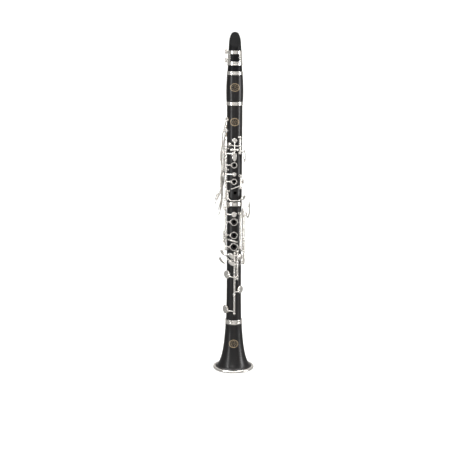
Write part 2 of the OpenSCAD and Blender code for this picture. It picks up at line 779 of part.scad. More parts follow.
module side_key(i) {
    p = side_pivots[i];
    pad = side_pads[i];
    top = polar(pad[0], pad[2] + 2.8, pad[1]);
    color(SILVER) difference() {
        union() {
            along_y(p, 2 * side_half, tube_r);
            arm(concat([top, polar(pad[0], pad[2] + 4.2, pad[1] - 6), p + [-0.6, 0, 0]], side_lanes[i],
                [side_touches[i]]), 0.95);
            cup_of(pad);
            translate(side_touches[i]) rotate([0, -74, 0]) translate([0, 0, -0.8])
                linear_extrude(1.6) polygon(oval(6.2, 13));
        }
        along_y(p, 24, rod_r + rod_gap);
        cup_space_of(pad);
    }
}

module side_key_1() { side_key(0); }
module side_key_2() { side_key(1); }
module side_key_3() { side_key(2); }
module side_key_4() { side_key(3); }
module side_pad_1() { pad_of(side_pads[0]); }
module side_pad_2() { pad_of(side_pads[1]); }
module side_pad_3() { pad_of(side_pads[2]); }
module side_pad_4() { pad_of(side_pads[3]); }

upper_sliver = [80, 381, upper_seat, 4.6];

module upper_sliver_key() {
    color(SILVER) difference() {
        union() {
            upright(sliver_line, 372.3, 390.9, tube_r);
            arm([sliver_line + [0, 0, 375], [8, -17.6, 373.4], [0, -18.4, 370], [-6.6, -17.8, 368]]);
            arm([sliver_line + [0, 0, 384], polar(62, 20, 382), polar(76, 18.4, 381)]);
            cup_of(upper_sliver);
        }
        upright(sliver_line, 360, 400, rod_r + rod_gap);
        cup_space_of(upper_sliver);
    }
}

module upper_sliver_pad() {
    pad_of(upper_sliver);
}

cross_pad = [-76, 356, upper_seat, 3.8];

module cross_c_sharp_key() {
    color(SILVER) difference() {
        union() {
            upright(cross_line, 347, 360.9, tube_r);
            arm([cross_line + [0, 0, 351], [-7, -18.6, 345], [9, -19, 345.4], polar(50, 21.2, 350)]);
            arm([cross_line + [0, 0, 356], polar(-54, 17.2, 356), polar(-70, 17.9, 356)], 0.8);
            cup_of(cross_pad);
            touch(56, 350, 20.4, 7.4, 15, 18);
        }
        upright(cross_line, 340, 370, rod_r + rod_gap);
        cup_space_of(cross_pad);
    }
}

module cross_c_sharp_pad() {
    pad_of(cross_pad);
}

// ---- Keys on the lower joint ----

low_ring_pad = [0, 317.5, lower_seat, 5.2];

module lower_ring_key() {
    low = lower_chimney - 1.3;
    color(SILVER) swing(ring_line, -ring_open) ring_line_key(249.4, 328.7) {
        union() {
            for (z = [302.6, 276]) ring_arm(z, low, 7.2);
            ring_arm(252.8, low, 7.7);
            cup_arm(ring_line, low_ring_pad);
            cup_of(low_ring_pad);
            arm([ring_line + [0, 0, 326], ring_line + [-3.4, -5, 329], ring_line + [-3.4, -5, 341]]);
        }
        union() {
            for (z = [302.6, 276]) ring_space(z, low, 5.9);
            ring_space(252.8, low, 6.4);
            cup_space_of(low_ring_pad);
        }
    }
}

module lower_ring_pad() {
    swing(ring_line, -ring_open) pad_of(low_ring_pad);
}

low_sliver = [-125, 270, lower_seat, 4.6];

module lower_sliver_key() {
    color(SILVER) difference() {
        union() {
            upright(low_sliver_line, 263.3, 276.7, tube_r);
            arm([low_sliver_line + [0, 0, 268], [-15.4, -7, 267.6], [-12, -12.4, 267], [-6, -17.6, 265.6],
                [0, -18.8, 264.2], [6.4, -17.8, 262.6]], 0.9);
            arm([low_sliver_line + [0, 0, 270], polar(-105, 19.6, 270), polar(-120, 18.2, 270)]);
            cup_of(low_sliver);
        }
        upright(low_sliver_line, 250, 290, rod_r + rod_gap);
        cup_space_of(low_sliver);
    }
}

module lower_sliver_pad() {
    pad_of(low_sliver);
}

sleeve_r = 2;
shaft_r = 1.15;
f_sharp = [50, 165, lower_seat, 7.8];
low_e = [-62, 124, low_e_seat, 8.6];
a_flat = [45, 231, lower_seat, 6.6];
low_f = [-52, 195.8, lower_seat, 8.2];

// Sleeve that turns on the shaft of the E key
module right_f_sharp_key() {
    color(SILVER) difference() {
        union() {
            upright(pinky_line, 158.7, 221, sleeve_r);
            arm([pinky_line + [0, 0, 161.8], polar(26, 20, 162),
                polar(49, lower_seat + 2.7, 163.6)], 1.2);
            cup_of(f_sharp);
            arm([pinky_line + [0, 0, 217], [-5, -17.6, 221], [-12, -14.4, 229], [-17, -13, 236]], 1);
            leaf([-21.3, -14, 240.6], -42, 16, 8, 57);
            arm([[-17, -13, 236], [-21.5, -14.2, 240.4]], 1.1);
            arm([pinky_line + [0, 0, 219], [5.2, -15.9, 219], [9.4, -14, 219]], 0.8);
        }
        upright(pinky_line, 150, 230, shaft_r + rod_gap);
        cup_space_of(f_sharp);
    }
}

module right_f_sharp_pad() {
    pad_of(f_sharp);
}

// Long shaft with its touch at the top and its pad at the bottom
module right_e_key() {
    color(SILVER) swing(pinky_line, low_open) difference() {
        union() {
            upright(pinky_line, 152, 238, shaft_r);
            upright(pinky_line, 120.3, 153.3, sleeve_r);
            upright(pinky_line, 221.6, 237.9, sleeve_r);
            arm([pinky_line + [0, 0, 122.4], polar(-31, 20.6, 122.8),
                polar(-61, low_e_seat + 2.7, 123.6)], 1.2);
            cup_of(low_e);
            arm([pinky_line + [0, 0, 226], [-6, -21.6, 226.6], [-13.4, -18.2, 227.8],
                [-22.3, -14.5, 225.6]], 1.05);
            leaf([-22.3, -14.4, 225.4], -42, 18, 9, 60);
            arm([pinky_line + [0, 0, 235], [5.6, -16.6, 236.6], [9.8, -14.8, 238]], 0.8);
        }
        upright(pinky_line, 105, 122, rod_r + rod_gap);
        upright(pinky_line, 235.4, 244, rod_r + rod_gap);
        cup_space_of(low_e);
    }
}

module right_e_pad() {
    swing(pinky_line, low_open) pad_of(low_e);
}

module right_a_flat_key() {
    color(SILVER) difference() {
        union() {
            upright(outer_line, 225.3, 240.9, tube_r);
            arm([outer_line + [0, 0, 231], polar(45, lower_seat + 2.8, 231)], 1.1);
            cup_of(a_flat);
            arm([outer_line + [0, 0, 236], [4, -24, 236.4], [-4, -25, 236.6]], 1.1);
            leaf([-5, -24.6, 236.2], -11, 17.5, 9, 57);
        }
        upright(outer_line, 220, 250, rod_r + rod_gap);
        cup_space_of(a_flat);
    }
}

module right_a_flat_pad() {
    pad_of(a_flat);
}

module right_f_key() {
    color(SILVER) swing(outer_line, low_open) difference() {
        union() {
            upright(outer_line, 191.1, 219.9, tube_r);
            arm([outer_line + [0, 0, 192.6], [4, -23.8, 192.8], [-4, -23.2, 193], [-9.6, -18.6, 193.8],
                polar(-50, lower_seat + 2.8, 195)], 1.1);
            cup_of(low_f);
            arm([outer_line + [0, 0, 217], [4, -24.4, 219.4], [-4, -25.4, 222]], 1.1);
            leaf([-5, -25, 221.6], -11, 16, 7.4, 60);
            arm([outer_line + [0, 0, 214.6], [10.6, -18.2, 214.6]], 0.9);
        }
        upright(outer_line, 180, 225, rod_r + rod_gap);
        cup_space_of(low_f);
    }
}

module right_f_pad() {
    swing(outer_line, low_open) pad_of(low_f);
}

module left_lever(i, z0, turn) {
    line = left_lines[i];
    color(SILVER) swing(line, turn) difference() {
        union() {
            upright(line, z0, 315.9, tube_r);
            children();
        }
        upright(line, z0 - 1, 317, rod_r + rod_gap);
    }
}

module left_e_lever() {
    left_lever(0, 253.3, 0) {
        arm([left_lines[0] + [0, 0, 312], polar(41, 24.2, 314), [17.6, -19.2, 321]]);
        leaf([17.5, -19, 323], 30, 20, 8, -4, 0.1);
        arm([left_lines[0] + [0, 0, 256], polar(30.2, 18, 254), polar(30.2, 17.4, 242)], 0.7);
    }
}

module left_f_lever() {
    left_lever(1, 246.7, 0) {
        arm([left_lines[1] + [0, 0, 312], polar(60, 24.6, 314), [26.6, -10.7, 320]]);
        leaf([26.5, -10.5, 320.5], 45, 22, 10, -4, 0.15);
        arm([left_lines[1] + [0, 0, 249], polar(55, 24.8, 248), polar(48, 24, 240), polar(46, 23.6, 222),
            polar(33, 21.6, 217.6)], 0.9);
    }
}

module left_f_sharp_lever() {
    left_lever(2, 219.7, 0) {
        arm([left_lines[2] + [0, 0, 312], polar(79, 24.8, 314), polar(84, 27.3, 326), [29.1, 1, 331]]);
        leaf([29, 2, 333], 75, 16, 8, 0, 0.1);
        arm([left_lines[2] + [0, 0, 222.4], polar(62, 17.4, 221.8), polar(46, 17, 221.8)], 0.8);
    }
}

// ---- Drawing ----

bell();
bell_rings();
lower_joint();
lower_tenon_cork();
lower_socket_ring();
lower_posts();
lower_rods();
thumb_rest();
thumb_rest_screws();
upper_joint();
upper_tenon_corks();
upper_posts();
upper_rods();
upper_bore_tubes();
barrel();
barrel_rings();
mouthpiece();
mouthpiece_cork();
reed();
ligature();
ligature_screw_upper();
ligature_screw_lower();
register_key();
thumb_ring_key();
first_ring_key();
second_ring_key();
throat_a_key();
throat_g_sharp_key();
side_key_1();
side_key_2();
side_key_3();
side_key_4();
upper_sliver_key();
cross_c_sharp_key();
lower_ring_key();
lower_sliver_key();
right_f_sharp_key();
right_e_key();
right_a_flat_key();
right_f_key();
left_e_lever();
left_f_lever();
left_f_sharp_lever();
register_pad();
first_ring_pad();
second_ring_pad();
throat_a_pad();
throat_g_sharp_pad();
side_pad_1();
side_pad_2();
side_pad_3();
side_pad_4();
upper_sliver_pad();
cross_c_sharp_pad();
lower_ring_pad();
lower_sliver_pad();
right_f_sharp_pad();
right_e_pad();
right_a_flat_pad();
right_f_pad();
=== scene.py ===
import json
import math

import bmesh
import bpy
import numpy as np
from mathutils import Matrix, Vector


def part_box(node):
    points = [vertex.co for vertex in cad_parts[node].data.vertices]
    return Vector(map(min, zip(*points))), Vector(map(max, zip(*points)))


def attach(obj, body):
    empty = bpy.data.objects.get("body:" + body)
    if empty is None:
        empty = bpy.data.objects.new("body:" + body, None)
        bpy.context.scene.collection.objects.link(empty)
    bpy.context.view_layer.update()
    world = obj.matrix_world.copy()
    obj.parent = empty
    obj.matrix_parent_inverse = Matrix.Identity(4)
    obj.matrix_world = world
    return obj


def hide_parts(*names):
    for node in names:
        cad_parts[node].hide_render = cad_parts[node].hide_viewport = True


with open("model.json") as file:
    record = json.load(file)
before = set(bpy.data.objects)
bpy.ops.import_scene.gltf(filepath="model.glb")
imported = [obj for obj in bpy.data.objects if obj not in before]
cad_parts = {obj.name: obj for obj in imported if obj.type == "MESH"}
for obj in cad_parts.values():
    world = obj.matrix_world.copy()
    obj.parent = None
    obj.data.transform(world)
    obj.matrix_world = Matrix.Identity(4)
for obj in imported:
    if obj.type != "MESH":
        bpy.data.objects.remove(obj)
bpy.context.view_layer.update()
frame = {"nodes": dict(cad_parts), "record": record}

MM = 0.001
NODES = frame["nodes"]
BODY_OF = {n: b for b, names in frame["record"]["behaviour"]["bodies"].items() for n in names}
SLOT_OF = {p["node"]: p["material_slot"] for p in frame["record"]["subparts"]}


# ---------------------------------------------------------------- materials

class Shade:
    """A node material with object coordinates in millimetres."""

    def __init__(self, name):
        self.mat = bpy.data.materials.new(name)
        self.mat.use_nodes = True
        self.tree = self.mat.node_tree
        self.bsdf = self.tree.nodes["Principled BSDF"]
        self.coord = self.tree.nodes.new("ShaderNodeTexCoord").outputs["Object"]

    def node(self, kind, **values):
        n = self.tree.nodes.new(kind)
        for key, value in values.items():
            if key in n.inputs:
                n.inputs[key].default_value = value
            else:
                setattr(n, key, value)
        return n

    def link(self, a, b):
        self.tree.links.new(a, b)

    def stretched(self, x=1 / MM, y=1 / MM, z=1 / MM):
        """Coordinates in millimetres; a smaller scale along an axis draws the pattern out that way."""
        n = self.node("ShaderNodeMapping")
        n.inputs["Scale"].default_value = (x, y, z)
        self.link(self.coord, n.inputs["Vector"])
        return n.outputs["Vector"]

    def noise(self, vector, scale, detail=4.0, rough=0.55):
        n = self.node("ShaderNodeTexNoise", Scale=scale, Detail=detail, Roughness=rough)
        self.link(vector, n.inputs["Vector"])
        return n.outputs["Fac"]

    def cells(self, vector, scale):
        n = self.node("ShaderNodeTexVoronoi", Scale=scale)
        self.link(vector, n.inputs["Vector"])
        return n.outputs["Distance"]

    def span(self, value, low, high, to_low=0.0, to_high=1.0):
        n = self.node("ShaderNodeMapRange")
        n.inputs["From Min"].default_value = low
        n.inputs["From Max"].default_value = high
        n.inputs["To Min"].default_value = to_low
        n.inputs["To Max"].default_value = to_high
        self.link(value, n.inputs["Value"])
        return n.outputs["Result"]

    def ramp(self, value, stops):
        n = self.node("ShaderNodeValToRGB")
        while len(n.color_ramp.elements) < len(stops):
            n.color_ramp.elements.new(0.5)
        for e, (at, colour) in zip(n.color_ramp.elements, stops):
            e.position = at
            e.color = (*colour, 1.0)
        self.link(value, n.inputs["Fac"])
        return n.outputs["Color"]

    def mix(self, fac, a, b):
        n = self.node("ShaderNodeMix", data_type="RGBA")
        for name, value in (("Factor", fac), ("A", a), ("B", b)):
            sockets = [s for s in n.inputs if s.name == name]
            socket = sockets[0] if name == "Factor" else [s for s in sockets if s.type == "RGBA"][0]
            if isinstance(value, (int, float)):
                socket.default_value = value
            elif isinstance(value, tuple):
                socket.default_value = (*value, 1.0)
            else:
                self.link(value, socket)
        return [s for s in n.outputs if s.type == "RGBA"][0]

    def maths(self, kind, a, b):
        n = self.node("ShaderNodeMath", operation=kind)
        for socket, value in zip(n.inputs, (a, b)):
            if isinstance(value, (int, float)):
                socket.default_value = value
            else:
                self.link(value, socket)
        return n.outputs["Value"]

    def bump(self, height, strength, depth_mm):
        n = self.node("ShaderNodeBump", Strength=strength, Distance=depth_mm * MM)
        self.link(height, n.inputs["Height"])
        return n.outputs["Normal"]

    def finish(self, colour, rough, normal=None, **fixed):
        self.link(colour, self.bsdf.inputs["Base Color"])
        self.link(rough, self.bsdf.inputs["Roughness"])
        if normal is not None:
            self.link(normal, self.bsdf.inputs["Normal"])
        for key, value in fixed.items():
            self.bsdf.inputs[key.replace("_", " ")].default_value = value
        return self.mat


def blackwood():
    s = Shade("blackwood")
    grain = s.noise(s.stretched(z=26), 0.55, 7.0, 0.6)
    figure = s.noise(s.stretched(z=9), 0.11, 3.0)
    fibre = s.noise(s.stretched(z=45), 2.6, 3.0, 0.7)
    pores = s.span(s.noise(s.stretched(z=60), 4.2, 2.0, 0.5), 0.60, 0.72)
    dark = s.ramp(grain, [(0.32, (0.0066, 0.0066, 0.0072)), (0.55, (0.0108, 0.0106, 0.0113)),
                          (0.72, (0.0185, 0.0160, 0.0152))])
    warm = s.mix(s.span(figure, 0.4, 0.7, 0.0, 0.55), dark, (0.0140, 0.0112, 0.0103))
    colour = s.mix(s.maths("MULTIPLY", pores, 0.75), warm, (0.0033, 0.0032, 0.0034))
    wear = s.noise(s.stretched(), 0.06, 4.0)
    rough = s.maths("ADD", s.span(wear, 0.3, 0.7, 0.24, 0.34), s.maths("MULTIPLY", fibre, 0.08))
    height = s.maths("SUBTRACT", s.maths("MULTIPLY", fibre, 0.5), pores)
    return s.finish(colour, rough, s.bump(height, 0.35, 0.03),
                    Specular_IOR_Level=0.34, Coat_Weight=0.08, Coat_Roughness=0.12)


def ebonite():
    s = Shade("ebonite")
    fine = s.noise(s.stretched(), 3.0, 5.0, 0.6)
    clouds = s.noise(s.stretched(), 0.12, 3.0)
    turned = s.noise(s.stretched(60, 60), 3.2, 2.0)
    colour = s.ramp(clouds, [(0.3, (0.006, 0.0061, 0.0066)), (0.7, (0.010, 0.0099, 0.0103))])
    rough = s.maths("ADD", s.span(clouds, 0.3, 0.7, 0.26, 0.34), s.maths("MULTIPLY", fine, 0.08))
    height = s.maths("ADD", fine, s.maths("MULTIPLY", turned, 0.35))
    return s.finish(colour, rough, s.bump(height, 0.3, 0.012), Specular_IOR_Level=0.10)


def silver_plate():
    s = Shade("silver_plate")
    clouds = s.noise(s.stretched(), 0.16, 4.0)
    fine = s.noise(s.stretched(), 5.0, 4.0, 0.65)
    rub = s.noise(s.stretched(900, 2600, 700), 1.4, 3.0, 0.7)
    bright, tarnish = (0.90, 0.875, 0.835), (0.72, 0.68, 0.615)
    colour = s.mix(s.span(clouds, 0.42, 0.78, 0.0, 0.7), bright, tarnish)
    rough = s.maths("ADD", s.span(clouds, 0.3, 0.75, 0.13, 0.25), s.maths("MULTIPLY", rub, 0.06))
    height = s.maths("ADD", fine, s.maths("MULTIPLY", rub, 0.5))
    return s.finish(colour, rough, s.bump(height, 0.22, 0.006), Metallic=0.86)


def steel():
    s = Shade("steel")
    lines = s.noise(s.stretched(500, 500, 6000), 1.2, 3.0, 0.7)
    clouds = s.noise(s.stretched(), 0.3, 3.0)
    colour = s.ramp(clouds, [(0.3, (0.56, 0.56, 0.57)), (0.7, (0.70, 0.695, 0.68))])
    rough = s.span(lines, 0.3, 0.7, 0.22, 0.36)
    return s.finish(colour, rough, s.bump(lines, 0.25, 0.005), Metallic=1.0)


def cork():
    s = Shade("cork")
    vector = s.stretched(z=700)
    grain = s.noise(vector, 1.1, 6.0, 0.65)
    cells = s.cells(vector, 2.2)
    spots = s.span(s.noise(s.stretched(z=500), 0.7, 3.0), 0.62, 0.72)
    colour = s.ramp(grain, [(0.3, (0.30, 0.165, 0.075)), (0.5, (0.47, 0.29, 0.15)),
                            (0.75, (0.60, 0.41, 0.24))])
    colour = s.mix(s.maths("MULTIPLY", spots, 0.7), colour, (0.10, 0.05, 0.025))
    height = s.maths("SUBTRACT", s.maths("MULTIPLY", cells, 0.8), spots)
    return s.finish(colour, s.span(grain, 0.3, 0.7, 0.62, 0.82), s.bump(height, 0.6, 0.12))


def cane():
    s = Shade("cane")
    fibre = s.noise(s.stretched(z=18), 2.4, 4.0, 0.6)
    broad = s.noise(s.stretched(z=25), 0.3, 3.0)
    colour = s.ramp(fibre, [(0.3, (0.50, 0.36, 0.14)), (0.55, (0.70, 0.55, 0.27)),
                            (0.75, (0.80, 0.68, 0.40))])
    colour = s.mix(s.span(broad, 0.5, 0.75, 0.0, 0.45), colour, (0.52, 0.33, 0.12))
    return s.finish(colour, s.span(broad, 0.3, 0.7, 0.38, 0.55), s.bump(fibre, 0.4, 0.03))


def pad_skin():
    s = Shade("pad_skin")
    crease = s.noise(s.stretched(), 0.9, 5.0, 0.6)
    clouds = s.noise(s.stretched(), 0.25, 2.0)
    colour = s.ramp(clouds, [(0.3, (0.66, 0.52, 0.32)), (0.7, (0.82, 0.73, 0.55))])
    return s.finish(colour, s.span(crease, 0.3, 0.7, 0.34, 0.5), s.bump(crease, 0.4, 0.05))


def inlay():
    s = Shade("gilt_inlay")
    worn = s.noise(s.stretched(), 1.1, 5.0, 0.7)
    colour = s.ramp(worn, [(0.35, (0.36, 0.26, 0.15)), (0.6, (0.66, 0.51, 0.32))])
    return s.finish(colour, s.span(worn, 0.3, 0.7, 0.34, 0.55), s.bump(worn, 0.3, 0.01), Metallic=0.35)


def paper():
    s = Shade("studio_paper")
    clouds = s.noise(s.stretched(1, 1, 1), 3.0, 3.0)
    colour = s.ramp(clouds, [(0.3, (0.90, 0.90, 0.895)), (0.7, (0.92, 0.92, 0.915))])
    return s.finish(colour, s.span(clouds, 0.3, 0.7, 0.85, 0.95))


FINISH = {"blackwood": blackwood(), "ebonite": ebonite(), "silver_plate": silver_plate(),
          "steel": steel(), "cork": cork(), "cane": cane(), "pad_skin": pad_skin()}
INLAY = inlay()


# ---------------------------------------------------------------- mesh building

# How a swept bar closes: the share of its last ring's size, and of its half thickness beyond the ring
END_RINGS = ((0.86, 0.5), (0.5, 0.86), (0.12, 1.0))
WELD = 1e-7


def polar(a, r, z):
    """Point at an angle from the front towards +X, a distance from the bore axis and a height."""
    a = math.radians(a)
    return np.array([r * math.sin(a), -r * math.cos(a), z])


def through(rows, per):
    """Catmull-Rom curve through rows, per steps for each gap."""
    rows = [2 * rows[0] - rows[1]] + list(rows) + [2 * rows[-1] - rows[-2]]
    out = []
    for i in range(1, len(rows) - 2):
        a, b, c, d = rows[i - 1:i + 3]
        for k in range(per):
            t = k / per
            out.append(0.5 * (2 * b + (c - a) * t + (2 * a - 5 * b + 4 * c - d) * t * t
                              + (3 * b - a - 3 * c + d) * t ** 3))
    return out + [rows[-2]]


def bar_end(ring, before, reach):
    """Shrinking rings beyond a bar's last ring, in order outwards."""
    centre, inside = np.mean(ring, axis=0), np.mean(before, axis=0)
    out = (centre - inside) / np.linalg.norm(centre - inside)
    return [[centre + (p - centre) * size + out * reach * far for p in ring] for size, far in END_RINGS]


class Shape:
    """Vertices in millimetres and faces, gathered from several parts."""

    def __init__(self):
        self.v, self.f = [], []

    def add(self, verts, faces):
        base = len(self.v)
        self.v.extend(tuple(float(c) for c in p) for p in verts)
        self.f.extend(tuple(base + i for i in face) for face in faces)
        return self

    def add_mesh(self, mesh):
        co = np.zeros(len(mesh.vertices) * 3)
        mesh.vertices.foreach_get("co", co)
        return self.add(co.reshape(-1, 3) / MM, [tuple(p.vertices) for p in mesh.polygons])

    def rings(self, rings, closed=False):
        """Skins rings of equal length; closed joins the last to the first, else both ends are capped."""
        n, count = len(rings[0]), len(rings)
        faces = []
        for i in range(count if closed else count - 1):
            a, b = i * n, (i + 1) % count * n
            faces += [(a + k, a + (k + 1) % n, b + (k + 1) % n, b + k) for k in range(n)]
        if not closed:
            faces += [tuple(range(n - 1, -1, -1)), tuple((count - 1) * n + k for k in range(n))]
        return self.add([p for r in rings for p in r], faces)

    def lathe(self, outline, steps):
        """Turns a closed outline of (radius, height) points about the bore axis."""
        turns = [2 * math.pi * k / steps for k in range(steps)]
        rings = [[(r * math.cos(t), r * math.sin(t), z) for t in turns] for r, z in outline]
        return self.rings(rings, closed=True)

    def sweep(self, points, widths, thick, side, sides=14):
        """Bar along points, with its half width along side at each point and one half thickness."""
        path = through([np.array([*p, w], float) for p, w in zip(points, widths)], 5)
        side = np.array(side, float)
        angles = [2 * math.pi * k / sides for k in range(sides)]
        rings = []
        for i, row in enumerate(path):
            along = path[min(i + 1, len(path) - 1)][:3] - path[max(i - 1, 0)][:3]
            along /= np.linalg.norm(along)
            u = side - along * side.dot(along)
            u /= np.linalg.norm(u)
            w = np.cross(along, u)
            rings.append([row[:3] + u * row[3] * math.cos(a) + w * thick * math.sin(a) for a in angles])
        head = bar_end(rings[0], rings[1], thick)
        tail = bar_end(rings[-1], rings[-2], thick)
        return self.rings(head[::-1] + rings + tail)

    def blob(self, centre, axes, radii, steps=28):
        """Ellipsoid: axes holds three unit vectors, radii the half size along each."""
        rings = []
        for i in range(1, steps // 2):
            p = math.pi * i / (steps // 2)
            ring = []
            for k in range(steps):
                t = 2 * math.pi * k / steps
                d = np.array([math.sin(p) * math.cos(t), math.sin(p) * math.sin(t), math.cos(p)])
                ring.append(centre + axes.T @ (d * np.array(radii)))
            rings.append(ring)
        return self.rings(rings)

    def mesh(self, name):
        m = bpy.data.meshes.new(name)
        m.from_pydata([tuple(c * MM for c in p) for p in self.v], [], self.f)
        b = bmesh.new()
        b.from_mesh(m)
        bmesh.ops.recalc_face_normals(b, faces=b.faces)
        b.to_mesh(m)
        b.free()
        return m


def piece(name, mesh, body, slot, material=None, replaces=()):
    o = bpy.data.objects.new(name, mesh)
    bpy.context.scene.collection.objects.link(o)
    mesh.materials.clear()
    mesh.materials.append(material or FINISH[slot])
    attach(o, body)
    if replaces:
        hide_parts(*replaces)
    return o


def applied(o):
    """Gives o the mesh that its modifiers make, and drops them."""
    dg = bpy.context.evaluated_depsgraph_get()
    made = bpy.data.meshes.new_from_object(o.evaluated_get(dg))
    old = o.data
    o.modifiers.clear()
    o.data = made
    bpy.data.meshes.remove(old)
    return o


def smooth(o, angle=None):
    """Smooth shading, with edges sharper than the angle kept."""
    o.data.polygons.foreach_set("use_smooth", [True] * len(o.data.polygons))
    if angle is not None:
        o.data.set_sharp_from_angle(angle=math.radians(angle))
    o.data.update()
    return o


def welded(node, name):
    """Piece with the CAD node's own mesh, and the seams between its faces closed."""
    shape = Shape().add_mesh(NODES[node].data)
    o = piece(name, shape.mesh(name), BODY_OF[node], SLOT_OF[node], replaces=(node,))
    bm = bmesh.new()
    bm.from_mesh(o.data)
    bmesh.ops.remove_doubles(bm, verts=bm.verts, dist=WELD)
    bm.to_mesh(o.data)
    bm.free()
    return o


def cast(node, extras=None, voxel=0.26, rounds=4):
    """Piece with its edges run together, as a casting has: the CAD node, with extra shapes, as one skin."""
    name = node + "_cast"
    o = welded(node, name)
    if extras is not None:
        o.data = Shape().add_mesh(o.data).add_mesh(extras.mesh("extra")).mesh(name)
        o.data.materials.append(FINISH[SLOT_OF[node]])
    skin = o.modifiers.new("skin", "REMESH")
    skin.mode = "VOXEL"
    skin.voxel_size = voxel * MM
    ease = o.modifiers.new("ease", "SMOOTH")
    ease.factor = 0.5
    ease.iterations = rounds
    return smooth(applied(o))


def turned(name, outlines, body, slot, replaces, steps=128, angle=32):
    """Turned piece from closed (radius, height) outlines."""
    shape = Shape()
    for outline in outlines:
        shape.lathe(outline, steps)
    return smooth(piece(name, shape.mesh(name), body, slot, replaces=replaces), angle)


def rounded(points, radius, steps):
    """Closed outline with each corner rounded."""
    out = []
    for i, p in enumerate(points):
        b = np.array(p, float)
        a = np.array(points[i - 1], float)
        c = np.array(points[(i + 1) % len(points)], float)
        to_a, to_c = np.linalg.norm(a - b), np.linalg.norm(c - b)
        cut = min(radius, to_a * 0.45, to_c * 0.45)
        start, end = b + (a - b) / to_a * cut, b + (c - b) / to_c * cut
        for k in range(steps + 1):
            t = k / steps
            out.append(tuple((1 - t) ** 2 * start + 2 * t * (1 - t) * b + t * t * end))
    return out


def banded(bottom, top, inner, outer, groove, depth, top_lip, radius, steps):
    """Outline of a ring with eased lips; groove holds the heights of its groove's edges and floor."""
    first, *floor, last = groove
    points = [(inner, bottom), (outer - 0.3, bottom), (outer, bottom + 0.5), (outer, first)]
    points += [(outer - depth, z) for z in floor]
    points += [(outer, last), (outer, top - 0.5), (outer - top_lip, top), (inner, top)]
    return rounded(points, radius, steps)


# ---------------------------------------------------------------- camera, light and floor

# Metres, degrees and watts
CAMERA_PLACE = (-0.0180, -2.11, 0.694)
CAMERA_PITCH = 10.75
CAMERA_ROLL = 0.2
LENS_MM = 86.8
SENSOR_MM = 36.0

FLOOR_HALF_WIDTH = 6.0
FLOOR_FRONT = -5.0
WALL_Y = 3.0
WALL_TOP = 5.0
BEND_R = 1.2

# Name, place, size, power and how far back it aims
LAMPS = (
    ("left_strip", (-1.55, -1.26, 0.75), (0.34, 2.0), 22, 0.0),
    ("right_strip", (1.94, -0.5, 0.75), (0.5, 2.0), 34, 0.0),
    ("front", (-0.5, -2.6, 1.9), (1.2, 0.8), 8, 0.0),
    ("top", (0.0, -0.1, 2.7), (2.6, 2.0), 44, 0.0),
    ("back", (0.0, 1.2, 3.2), (3.0, 1.0), 60, 1.0))
LAMP_AIM_Z = 0.35

# The surroundings darken towards both sides
WORLD_STOPS = ((0.30, (0.56, 0.55, 0.535)), (0.66, (0.25, 0.25, 0.245)))
WORLD_STRENGTH = 0.9


def camera():
    cam = bpy.data.objects.new("camera", bpy.data.cameras.new("camera"))
    bpy.context.scene.collection.objects.link(cam)
    cam.data.lens = LENS_MM
    cam.data.sensor_width = SENSOR_MM
    cam.location = CAMERA_PLACE
    cam.rotation_euler = (Matrix.Rotation(math.radians(90 - CAMERA_PITCH), 4, "X")
                          @ Matrix.Rotation(math.radians(CAMERA_ROLL), 4, "Z")).to_euler()
    bpy.context.scene.camera = cam


def backdrop():
    """Floor that bends up into a wall behind the instrument."""
    bend = [(FLOOR_FRONT, 0.0), (WALL_Y - BEND_R, 0.0)]
    for a in range(10, 91, 10):
        turn = math.radians(a)
        bend.append((WALL_Y - BEND_R + BEND_R * math.sin(turn), BEND_R - BEND_R * math.cos(turn)))
    bend.append((WALL_Y, WALL_TOP))
    shape = Shape()
    shape.add([(x / MM, y / MM, z / MM) for y, z in bend for x in (-FLOOR_HALF_WIDTH, FLOOR_HALF_WIDTH)],
              [(2 * i, 2 * i + 1, 2 * i + 3, 2 * i + 2) for i in range(len(bend) - 1)])
    floor = bpy.data.objects.new("floor", shape.mesh("floor"))
    bpy.context.scene.collection.objects.link(floor)
    floor.data.materials.append(paper())
    smooth(floor)
    floor.visible_glossy = False


def lamps():
    for name, place, size, power, aim_y in LAMPS:
        lamp = bpy.data.lights.new(name, "AREA")
        lamp.shape = "RECTANGLE"
        lamp.size, lamp.size_y = size
        lamp.energy = power
        o = bpy.data.objects.new(name, lamp)
        o.location = place
        aim = Vector((0.0, aim_y, LAMP_AIM_Z)) - Vector(place)
        o.rotation_euler = aim.to_track_quat("-Z", "Y").to_euler()
        bpy.context.scene.collection.objects.link(o)


def surroundings():
    world = bpy.data.worlds.new("studio")
    bpy.context.scene.world = world
    world.use_nodes = True
    tree = world.node_tree
    towards = tree.nodes.new("ShaderNodeTexCoord").outputs["Generated"]
    split = tree.nodes.new("ShaderNodeSeparateXYZ")
    tree.links.new(towards, split.inputs[0])
    away = tree.nodes.new("ShaderNodeMath")
    away.operation = "ABSOLUTE"
    tree.links.new(split.outputs["X"], away.inputs[0])
    ramp = tree.nodes.new("ShaderNodeValToRGB")
    for e, (at, colour) in zip(ramp.color_ramp.elements, WORLD_STOPS):
        e.position = at
        e.color = (*colour, 1.0)
    tree.links.new(away.outputs[0], ramp.inputs["Fac"])
    tree.links.new(ramp.outputs["Color"], tree.nodes["Background"].inputs["Color"])
    tree.nodes["Background"].inputs["Strength"].default_value = WORLD_STRENGTH


camera()
backdrop()
lamps()
surroundings()
bpy.context.scene.view_settings.view_transform = "Standard"


# ---------------------------------------------------------------- finishes on the CAD nodes

for name, node in NODES.items():
    node.data.materials.clear()
    node.data.materials.append(FINISH[SLOT_OF[name]])


def top_of(node):
    """Highest height of a CAD node, in millimetres."""
    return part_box(node)[1][2] / MM


